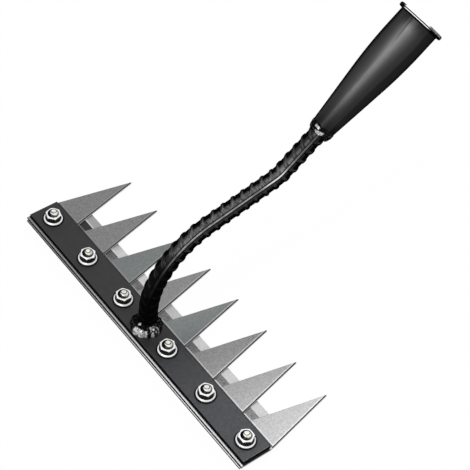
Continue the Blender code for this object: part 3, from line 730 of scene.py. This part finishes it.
def neck_body():
    """The bar as slices, square at its two ends and leaning with the ribs between them."""
    body = bmesh.new()
    start = RIB_START - RIB_PITCH / 2
    slices = [(0.0, 0.0), (FIRST_SLICE, 0.0)]
    while start < NECK_LENGTH - RIB_LEAN - LAST_RIB_ROOM:
        slices.append((start, RIB_LEAN))
        start += RIB_PITCH / SLICES_TO_A_RIB
    slices += [(NECK_LENGTH - NECK_END_ROUND, 0.0), (NECK_LENGTH, 0.0)]
    rings = []
    for along, lean in slices:
        ring = []
        for side in range(NECK_SIDES):
            turn = 2 * math.pi * side / NECK_SIDES
            radius = neck_radius(turn, along)
            if along in (0.0, NECK_LENGTH):
                radius -= NECK_END_ROUND
            point, angle = neck_point(along - lean * math.cos(turn - RIB_LEAN_TURN))
            upward = Vector((0.0, -math.sin(angle), math.cos(angle)))
            outward = math.cos(turn + LONG_RIB_ROLL) * upward
            outward += math.sin(turn + LONG_RIB_ROLL) * Vector((1.0, 0.0, 0.0))
            ring.append(point + radius * outward)
        rings.append(ring)
    made = join_rings(body, rings)
    body.faces.new(made[0])
    body.faces.new(made[-1])
    return body


def grazing(shader):
    """0 where the surface faces the eye, 1 where it turns away from it."""
    return Value(shader.id_data).node("ShaderNodeLayerWeight", {}, {"Blend": 0.5}, "Facing")


def turn_about(along, across):
    """The direction of a place from an axis, in degrees."""
    return across.joined(across, along, "ARCTAN2") * math.degrees(1)


def bend_rib_highlight(place):
    """Painted highlight lines along the lower edges of the crescent ribs round the foot's bend, on the left
    of the long rib. Each line slants a little more than its rib does."""
    before = 1000 * (NECK_FOOT[1] + FOOT_BEND) - place.part(1)
    above = place.part(2) - 1000 * (NECK_FOOT[2] + NECK_PIECES[0][0])
    bent = 1000 * FOOT_BEND * math.radians(1) * turn_about(before, above)
    travelled = 1000 * NECK_PIECES[0][0] + bent
    outward = (before ** 2.0 + above ** 2.0) ** 0.5 - 1000 * FOOT_BEND
    turn = turn_about(outward, place.part(0))
    lean_turn = LONG_RIB_ROLL + RIB_LEAN_TURN
    leaning = math.cos(lean_turn) * outward + math.sin(lean_turn) * place.part(0)
    leaning = leaning * (outward ** 2.0 + place.part(0) ** 2.0) ** -0.5
    sliced = travelled + 1000 * RIB_LEAN * leaning + 1000 * (RIB_PITCH / 2 - RIB_START)
    sliced = sliced + RIB_LINE_SLANT * (turn + 70)
    past = sliced.joined(sliced, 1000 * RIB_PITCH, "MODULO") - 500 * RIB_PITCH
    side = turn.step(-125.0, -100.0) * turn.step(22.0, -12.0)
    return past.size().step(0.90, 0.40) * side * travelled.step(32.0, 60.0) * travelled.step(122.0, 106.0)


material, shader, place = new_material("black_neck_paint")
along, height = place.part(0), place.part(2)
run = place.noise(0.12, 3.0, 0.5)
streak = (place * (1.0, 0.22, 1.0)).noise(0.9, 5.0, 0.65)
dust = place.noise(1.6, 5.0, 0.7).step(0.55, 0.75)
facing_up = upward(shader)
# Painted highlight: pale lines along the crests of the ribs, fading out low on the neck.
crest_highlight = place.node("ShaderNodeNewGeometry", {}, {}, "Pointiness").step(0.512, 0.532)
cross_streak = (place * (0.22, 1.4, 1.4)).noise(0.8, 4.0, 0.7)
colour = streak.step(0.35, 0.8).between((0.0025, 0.0025, 0.0025, 1.0), (0.0117, 0.0117, 0.0125, 1.0))
colour = (0.20 * dust).between(colour, (0.050, 0.050, 0.050, 1.0))
crest_highlight = crest_highlight * (0.3 + streak) * along.step(7.0, 5.5) * height.step(35.0, 90.0)
colour = crest_highlight.between(colour, (0.090, 0.090, 0.090, 1.0))
upper_end = place.part(1).step(132.0, 165.0)
# Painted sheen: grey streaks on the upper side beside the long rib, high on the neck and fading towards the
# socket.
neck_sheen = along.step(-3.0, 2.0) * along.step(5.0, 4.6) * facing_up.step(0.3, 0.6) * height.step(72.0, 108.0)
neck_sheen = neck_sheen * (1 - 0.85 * upper_end)
neck_sheen_colour = cross_streak.step(0.38, 0.62)
neck_sheen_colour = neck_sheen_colour.between((0.0050, 0.0050, 0.0050, 1.0), (0.125, 0.125, 0.125, 1.0))
colour = neck_sheen.between(colour, neck_sheen_colour)
# Painted shade: a dark line beside the long rib.
rib_shade_line = (along - 4.4).size().step(0.65, 0.35) * facing_up.step(0.1, 0.4) * height.step(60.0, 90.0)
colour = rib_shade_line.between(colour, (0.0017, 0.0017, 0.0017, 1.0))
# Painted highlights along the crescent ribs round the foot's bend.
bend_rib_lines = bend_rib_highlight(place) * (0.4 + streak)
colour = bend_rib_lines.between(colour, (0.085, 0.085, 0.085, 1.0))
# Painted highlight: a pale line along the long rib on the upper neck, palest round the bend below the socket
# and dimmer beyond it.
long_rib_highlight = (along - 5.6).size().step(0.65, 0.35) * facing_up.step(0.1, 0.4) * height.step(50.0, 86.0)
long_rib_highlight = long_rib_highlight * (1 - 0.60 * upper_end)
long_rib_highlight_colour = run.step(0.35, 0.65).between((0.150, 0.150, 0.150, 1.0), (0.340, 0.340, 0.340, 1.0))
outer_bend = (place.part(1) - 129.0).size().step(15.0, 4.0)
long_rib_highlight_colour = outer_bend.between(long_rib_highlight_colour, (0.708, 0.708, 0.708, 1.0))
feed(shader, {
    "Base Color": long_rib_highlight.between(colour, long_rib_highlight_colour),
    "Roughness": 0.20 + 0.20 * streak,
    "Normal": place.bump(0.10 * streak + 0.12 * run),
})
# Painted shade: the paint turns dull and nearly black where it faces down, where it turns away from the eye,
# where it faces left, low on the neck, along the dark line and towards the socket, keeping the painted rib
# highlights.
painted_shade = facing_up.step(0.60, 0.25).larger(grazing(shader).step(0.50, 0.85))
painted_shade = painted_shade.larger(towards(shader, LEFT_OF_NECK).step(0.42, 0.70))
painted_shade = painted_shade.larger(0.94 * height.step(104.0, 68.0)).larger(0.9 * rib_shade_line).larger(0.45 * upper_end)
shade_colour = (crest_highlight * (1 - rib_shade_line)).between((0.0017, 0.0017, 0.0017, 1.0), (0.030, 0.030, 0.030, 1.0))
shade_colour = bend_rib_lines.between(shade_colour, (0.070, 0.070, 0.070, 1.0))
paint_light_and_shade(shader, painted_shade, shade_colour, 0.6)
add_piece("neck_ribbed", neck_body(), material, "neck_paint", "neck_bar", sharp_angle=50.0)

# ---- Weld beads ----
# Beads of weld metal round the two ends of the neck, laid in overlapping puddles and painted over.
# The paint missed the hottest lumps, which stayed bare and silvery, and a few drops of spatter.
SLEEVE_RADIUS = 0.0092
NECK_SIDE = 0.0078
WELD_SIDES = 220
RIPPLES = 8
RIPPLE_SHARE = 0.10
LOBES = 5
LOBE_SHARE = 0.08
LUMP_SHARE = 0.12


def weld_body(width, length, heavy_side, lopsided, lap, seed):
    """A lumpy ring against the piece at level 0, lapping onto it. A length below 0 runs down."""
    body = bmesh.new()
    section_steps = 16
    rings = []
    for side in range(WELD_SIDES):
        turn = 2 * math.pi * side / WELD_SIDES
        size = 1.0 + lopsided * math.cos(turn - heavy_side) + LOBE_SHARE * math.cos(LOBES * turn)
        size *= 1.0 - RIPPLE_SHARE + RIPPLE_SHARE * abs(math.sin(RIPPLES * turn))
        ring = [(NECK_SIDE, 0.0)]
        if lap > 0.0:
            ring.append((SLEEVE_RADIUS + width - 0.0010, lap))
            ring.append((SLEEVE_RADIUS + width * 0.97, lap * 0.6))
        for step in range(section_steps + 1):
            rise = math.pi / 2 * step / section_steps
            lump = noise.noise(Vector((3 * math.cos(turn), 3 * math.sin(turn), 2 * rise + seed)))
            full = size * (1.0 + LUMP_SHARE * lump * math.cos(rise))
            ring.append((SLEEVE_RADIUS + width * full * math.cos(rise), length * full * math.sin(rise)))
        ring.append((NECK_SIDE, ring[-1][1]))
        rings.append([(radius * math.cos(turn), radius * math.sin(turn), level) for radius, level in ring])
    join_rings(body, rings, closed=True)
    return body


def weld_material(name, bright_mask, stretch):
    """Black paint over the bead, with bare metal where the mask says, painted brighter still as a highlight
    where the mask passes 1.
    """
    material, shader, place = new_material(name)
    lumps = place.noise(0.55, 4.0, 0.6)
    pits = (place * stretch).noise(0.8, 4.0, 0.7)
    bare_and_glint = bright_mask(place, lumps)
    clean_and_glint = pits.step(0.38, 0.60) + (bare_and_glint - 1.0).larger(0.0)
    metal = clean_and_glint.between((0.058, 0.058, 0.058, 1.0), (0.750, 0.742, 0.733, 1.0))
    feed(shader, {
        "Base Color": bare_and_glint.between((0.0042, 0.0042, 0.0042, 1.0), metal),
        "Metallic": 0.5 * bare_and_glint,
        "Roughness": 0.30 + 0.12 * lumps,
        "Normal": place.bump(0.25 * lumps + 0.12 * pits),
    })
    # Painted shade: the paint in the bead's low parts turns dull and nearly black.
    paint_light_and_shade(shader, (1 - bare_and_glint) * lumps.step(0.68, 0.50), (0.0033, 0.0033, 0.0033, 1.0), 0.6)
    return material


# Spots on the second lump: along, across, size and bareness, where a bareness past 1 paints a highlight.
FOOT_SPOTS = (
    (13.2, -3.0, 1.0, 1.4),
    (15.2, -1.5, 0.8, 0.9),
    (15.7, -5.4, 1.5, 1.6),
    (10.4, -4.6, 1.3, 0.9),
)


def foot_lumps(place, lumps):
    """Two bare lumps at the right, the second one a ring round a dark crater, and a round drop. Two of the
    second lump's spots and the drop go past 1, which paints a highlight on them.
    """
    along, across = place.part(0), place.part(1) - 1000 * NECK_FOOT[1]
    radius = (along ** 2.0 + across ** 2.0) ** 0.5
    turn = turn_about(along, across)
    first = turn.step(-93.0, -86.0) * turn.step(-34.0, -38.0) * (radius + 3 * lumps).step(15.0, 16.0)
    from_crater = ((along - 14.6) ** 2.0 + (across + 2.2) ** 2.0) ** 0.5
    second = from_crater.step(4.6, 4.0) * (0.14 + 0.50 * from_crater.step(2.4, 3.4))
    for spot_along, spot_across, size, bareness_and_glint in FOOT_SPOTS:
        from_spot = ((along - spot_along) ** 2.0 + (across - spot_across) ** 2.0) ** 0.5
        second = second.larger(bareness_and_glint * from_spot.step(1.15 * size, 0.75 * size))
    drop = ((along - 2.1) ** 2.0 + (across + 10.4) ** 2.0).step(2.6, 1.4)
    return first.larger(second * turn.step(-32.0, -28.0)).larger(1.7 * drop)


heavy_side = math.radians(-50.0)
body = weld_body(width=0.0056, length=0.0058, heavy_side=heavy_side, lopsided=0.5, lap=0.0, seed=0.0)
bmesh.ops.translate(body, verts=body.verts, vec=NECK_FOOT)
material = weld_material("foot_weld_metal", foot_lumps, (0.25, 1.1, 0.9))
add_piece("foot_weld_bead", body, material, "weld_metal", "foot_weld", sharp_angle=70.0)

SOCKET_WELD_GAP = 0.0003
socket_start, socket_angle = neck_point(NECK_LENGTH - NECK_INSERTION)
SOCKET_TILT = socket_angle - math.pi / 2
SOCKET_PLACE = Matrix.Translation(socket_start) @ Matrix.Rotation(SOCKET_TILT, 4, "X")


def in_socket(place):
    """How far a place is up the socket from its narrow end, its turn about the socket and its radius."""
    upright = (place - 1000 * socket_start).tilted(SOCKET_TILT)
    along, across = upright.part(0), upright.part(1)
    return upright.part(2), turn_about(along, across), (along ** 2.0 + across ** 2.0) ** 0.5


def socket_lumps(place, lumps):
    """A three-cornered lump and a thin streak above it, both bare and painted brighter still as a highlight.
    """
    level, turn = in_socket(place)[:2]
    below_top = (-0.8 + 0.059 * turn - level).step(-0.2, 0.3) * (level + 0.8 * lumps).step(-8.4, -7.4)
    left_side = (turn + 5.5 * level + 114.4).step(-5.0, 1.0)
    right_side = (turn - 1.7 * level + 31.2).step(4.0, -4.0)
    streak = (level + 0.031 * turn + 5.1).size().step(1.4, 0.9)
    streak = streak * turn.step(-99.0, -94.0) * turn.step(-66.0, -71.0)
    return (1.15 * below_top * left_side * right_side).larger(1.4 * streak)


heavy_side = math.radians(10.0)
body = weld_body(width=0.0027, length=-0.0075, heavy_side=heavy_side, lopsided=0.12, lap=0.0014, seed=7.0)
below_socket = SOCKET_PLACE @ Matrix.Translation((0.0, 0.0, -SOCKET_WELD_GAP))
bmesh.ops.transform(body, matrix=below_socket, verts=body.verts)
material = weld_material("socket_weld_metal", socket_lumps, (0.5, 0.5, 0.5))
add_piece("socket_weld_bead", body, material, "weld_metal", "socket_weld", sharp_angle=70.0)

# ---- Handle socket ----
# A tube drawn down to a cone over the neck's end and painted semi-gloss black. Its mouth is folded
# out into a thick lip. A painted highlight line with a painted shade line beside it shows where the
# tube was closed.
SOCKET_LENGTH = 0.1267
SOCKET_WALL = 0.0023
NARROW_RADIUS = 0.0115
MOUTH_RADIUS = 0.0201
CONE_LENGTH = 0.0807
SHOULDER_BLEND = 0.024
LIP_RADIUS = 0.0237
LIP_LENGTH = 0.004
LIP_ROUND = 0.0013
LIP_FILLET = 0.0009
MOUTH_ROUND = 0.0008
SOCKET_SIDES = 180
SHOULDER_STEPS = 24
CONE_STEPS = 16


def quarter(radius, level, start, end, steps, size):
    """Part of a circle in the profile, from one angle to another in quarter turns."""
    turns = [math.pi / 2 * (start + (end - start) * step / steps) for step in range(steps + 1)]
    return [(radius + size * math.cos(turn), level + size * math.sin(turn)) for turn in turns]


def socket_side(space):
    """The side from the mouth down to the narrow end, moved in by a space."""
    growth = (MOUTH_RADIUS - NARROW_RADIUS) / CONE_LENGTH
    high = Vector((MOUTH_RADIUS, CONE_LENGTH + SHOULDER_BLEND))
    corner = Vector((MOUTH_RADIUS, CONE_LENGTH))
    low_level = CONE_LENGTH - SHOULDER_BLEND
    low = Vector((NARROW_RADIUS + growth * low_level, low_level))
    points = []
    for step in range(SHOULDER_STEPS + 1):
        share = step / SHOULDER_STEPS
        radius, level = high.lerp(corner, share).lerp(corner.lerp(low, share), share)
        points.append((radius - space, level))
    for step in range(1, CONE_STEPS + 1):
        share = 1 - step / CONE_STEPS
        points.append((NARROW_RADIUS + growth * low_level * share - space, low_level * share))
    return points


def socket_body():
    """The lip, the outer side, the bore and the mouth as one profile, turned about the socket's line."""
    top = SOCKET_LENGTH
    bottom = SOCKET_LENGTH - LIP_LENGTH
    profile = quarter(LIP_RADIUS - LIP_ROUND, top - LIP_ROUND, 1, 0, 6, LIP_ROUND)
    profile += quarter(LIP_RADIUS - LIP_ROUND, bottom + LIP_ROUND, 0, -1, 6, LIP_ROUND)
    profile += quarter(MOUTH_RADIUS + LIP_FILLET, bottom - LIP_FILLET, 1, 2, 5, LIP_FILLET)
    profile += socket_side(0.0)
    profile += reversed(socket_side(SOCKET_WALL))
    bore = MOUTH_RADIUS - SOCKET_WALL
    profile += quarter(bore + MOUTH_ROUND, top - MOUTH_ROUND, 2, 1, 4, MOUTH_ROUND)
    rings = []
    for side in range(SOCKET_SIDES):
        turn = 2 * math.pi * side / SOCKET_SIDES
        rings.append([(radius * math.cos(turn), radius * math.sin(turn), level) for radius, level in profile])
    body = bmesh.new()
    join_rings(body, rings, closed=True)
    bmesh.ops.transform(body, matrix=SOCKET_PLACE, verts=body.verts)
    return body


material, shader, place = new_material("black_socket_paint")
level, turn, radius = in_socket(place)
orange_peel = place.noise(1.1, 2.0)
sag = place.noise(0.07, 3.0, 0.5)
dust = place.noise(1.2, 5.0, 0.7).step(0.58, 0.80)
scuff = (place * (1.0, 0.3, 0.3)).noise(0.7, 6.0, 0.7).step(0.60, 0.72)
colour = sag.step(0.3, 0.7).between((0.0083, 0.0083, 0.0092, 1.0), (0.0133, 0.0133, 0.0142, 1.0))
# Painted highlight: a paler band along the front of the socket, broader towards the mouth, with a brighter
# ridge down its middle.
highlight_band = turn.step(-112.0, -76.0) * turn.step(0.0, -72.0)
highlight_band = highlight_band * (0.3 + 0.7 * level.step(5.0, 60.0)) * level.step(126.0, 108.0)
colour = (highlight_band * (0.75 + 0.5 * place.noise(0.9, 4.0, 0.7))).between(colour, (0.050, 0.050, 0.051, 1.0))
broad_highlight = turn.step(-102.0, -80.0) * turn.step(-20.0, -64.0)
broad_highlight = broad_highlight * level.step(62.0, 110.0) * level.step(122.0, 108.0)
colour = (0.62 * broad_highlight).between(colour, (0.117, 0.117, 0.117, 1.0))
highlight_ridge = (turn + 77.0).size().step(14.0, 2.0) * level.step(65.0, 100.0) * level.step(122.0, 112.0)
colour = (0.40 * highlight_ridge).between(colour, (0.200, 0.200, 0.200, 1.0))
# The seam, drawn as a painted highlight line with a painted shade line beside it.
seam = turn + 0.3 * level + 50.0
drawn = level.step(84.0, 112.0) * level.step(123.0, 119.0)
colour = (seam.size().step(2.4, 1.2) * drawn).between(colour, (0.100, 0.100, 0.100, 1.0))
colour = (0.8 * (seam - 4.0).size().step(2.4, 1.2) * drawn).between(colour, (0.0050, 0.0050, 0.0050, 1.0))
# Painted shade: dark from just under the lip, up over the lip and into the mouth.
lip_shade = level.step(121.4, 122.2)
colour = lip_shade.between(colour, (0.0033, 0.0033, 0.0033, 1.0))
# Painted highlights: two white lines round the front of the lip, and white patches on its outer edge, faint
# all round as wear and strong at the front as a painted highlight.
inner_lip_highlight = level.step(123.2, 123.4) * level.step(124.15, 123.95)
inner_lip_highlight = inner_lip_highlight * turn.step(-118.0, -108.0) * turn.step(-28.0, -44.0)
outer_lip_highlight = level.step(124.95, 125.15) * turn.step(-122.0, -108.0) * turn.step(-30.0, -42.0)
lip_wear_and_highlight = place.noise(0.9, 4.0, 0.7).step(0.40, 0.60) * level.step(124.4, 124.8)
lip_wear_and_highlight = lip_wear_and_highlight * (0.08 + 0.52 * turn.step(-44.0, -34.0) * turn.step(20.0, 5.0))
lip_highlight_and_wear = inner_lip_highlight.larger(outer_lip_highlight).larger(lip_wear_and_highlight) * radius.step(22.2, 22.6)
colour = (0.20 * dust + 0.12 * scuff).between(colour, (0.083, 0.083, 0.083, 1.0))
feed(shader, {
    "Base Color": lip_highlight_and_wear.between(colour, (1.0, 1.0, 1.0, 1.0)),
    "Roughness": 0.30 + 0.08 * sag + 0.12 * scuff,
    "Normal": place.bump(0.020 * orange_peel + 0.10 * sag),
})
# Painted shade: the paint turns dull and nearly black on the left flank, where it faces down, where it turns
# away from the eye, on the right side, near the narrow end and near the mouth, and less so on the far side;
# across the front this shade is painted a little lighter.
left_flank = turn.step(-100.0, -132.0).larger(turn.step(110.0, 150.0))
painted_shade = upward(shader).step(0.56, 0.25).larger(grazing(shader).step(0.50, 0.85)).larger(left_flank)
lighter_shade = turn.step(-132.0, -106.0) * turn.step(20.0, -6.0) * (1 - lip_shade) * (0.25 + 0.75 * level.step(1.0, 12.0))
shade_colour = lighter_shade.between((0.0025, 0.0025, 0.0025, 1.0), (0.0150, 0.0150, 0.0150, 1.0))
painted_shade = painted_shade.larger(0.62 * turn.step(-66.0, -36.0)).larger(0.7 * level.step(45.0, -1.0))
painted_shade = painted_shade.larger(0.55 * level.step(110.0, 122.0))
far_side = turn.step(45.0, 80.0).larger(turn.step(-150.0, -175.0))
painted_shade = painted_shade * (1 - 0.8 * far_side)
paint_light_and_shade(shader, painted_shade.larger(lip_shade) * (1 - lip_highlight_and_wear), shade_colour, 0.6)
add_piece("handle_socket_painted", socket_body(), material, "socket_paint", "handle_socket", sharp_angle=40.0)

# ---- Floor, lamps and camera ----
# A plain white sheet under two large soft lamps and a narrow strip lamp. The camera looks down on it
# from past the bar's right end, behind the head, through a long lens.
FLOOR_DROP = 0.0005
FLOOR_WHITENESS = 0.97


def add_lamp(name, place, aim, width, height, brightness):
    """A soft rectangular lamp, as bright as that share of plain white."""
    lamp = bpy.data.lights.new(name, "AREA")
    lamp.shape = "RECTANGLE"
    lamp.size = width
    lamp.size_y = height
    lamp.energy = brightness * math.pi * width * height
    holder = bpy.data.objects.new(name, lamp)
    bpy.context.scene.collection.objects.link(holder)
    holder.location = place
    holder.rotation_euler = (Vector(aim) - Vector(place)).to_track_quat("-Z", "Y").to_euler()


add_lamp("back_softbox", (0.0, 0.75, 1.30), (0.0, 0.0, 0.05), 1.0, 0.8, 2.2)
add_lamp("front_softbox", (0.40, -1.05, 1.45), (0.0, 0.05, 0.12), 0.9, 0.6, 4.8)
add_lamp("strip_lamp", (0.04, -1.05, 1.50), (0.0, 0.05, 0.12), 0.14, 0.7, 10.8)

world = bpy.data.worlds.new("studio")
world.use_nodes = True
world.node_tree.nodes["Background"].inputs["Color"].default_value = (1.0, 1.0, 1.0, 1.0)
world.node_tree.nodes["Background"].inputs["Strength"].default_value = 0.60
bpy.context.scene.world = world

material, shader, place = new_material("white_floor")
feed(shader, {"Base Color": (0.95, 0.95, 0.95, 1.0), "Roughness": 0.9, "Specular IOR Level": 0.0})
tree = material.node_tree
start = Value(tree)
glow = start.node("ShaderNodeEmission", {}, {"Color": (1.0, 1.0, 1.0, 1.0), "Strength": 1.0})
path = tree.nodes.new("ShaderNodeLightPath")
seen = Value(tree, path.outputs["Is Camera Ray"]).larger(Value(tree, path.outputs["Is Glossy Ray"]))
seen = seen.larger(Value(tree, path.outputs["Is Transmission Ray"]))
shaders = {0: FLOOR_WHITENESS * seen, 1: Value(tree, shader.outputs[0]), 2: glow}
surface = start.node("ShaderNodeMixShader", {}, shaders)
tree.links.new(surface.socket, tree.nodes["Material Output"].inputs["Surface"])
body = bmesh.new()
bmesh.ops.create_grid(body, x_segments=2, y_segments=2, size=3.0)
mesh = bpy.data.meshes.new("floor")
body.to_mesh(mesh)
body.free()
mesh.materials.append(material)
floor = bpy.data.objects.new("floor", mesh)
bpy.context.scene.collection.objects.link(floor)
floor.location.z = -FLOOR_DROP

camera_data = bpy.data.cameras.new("camera")
camera_data.lens = 125.4
camera_data.sensor_width = 36.0
camera = bpy.data.objects.new("camera", camera_data)
bpy.context.scene.collection.objects.link(camera)
camera.location = (0.6808, -0.6124, 1.2427)
camera.rotation_euler = [math.radians(turn) for turn in (37.01, -1.739, 52.56)]
bpy.context.scene.camera = camera
bpy.context.scene.view_settings.view_transform = "Standard"
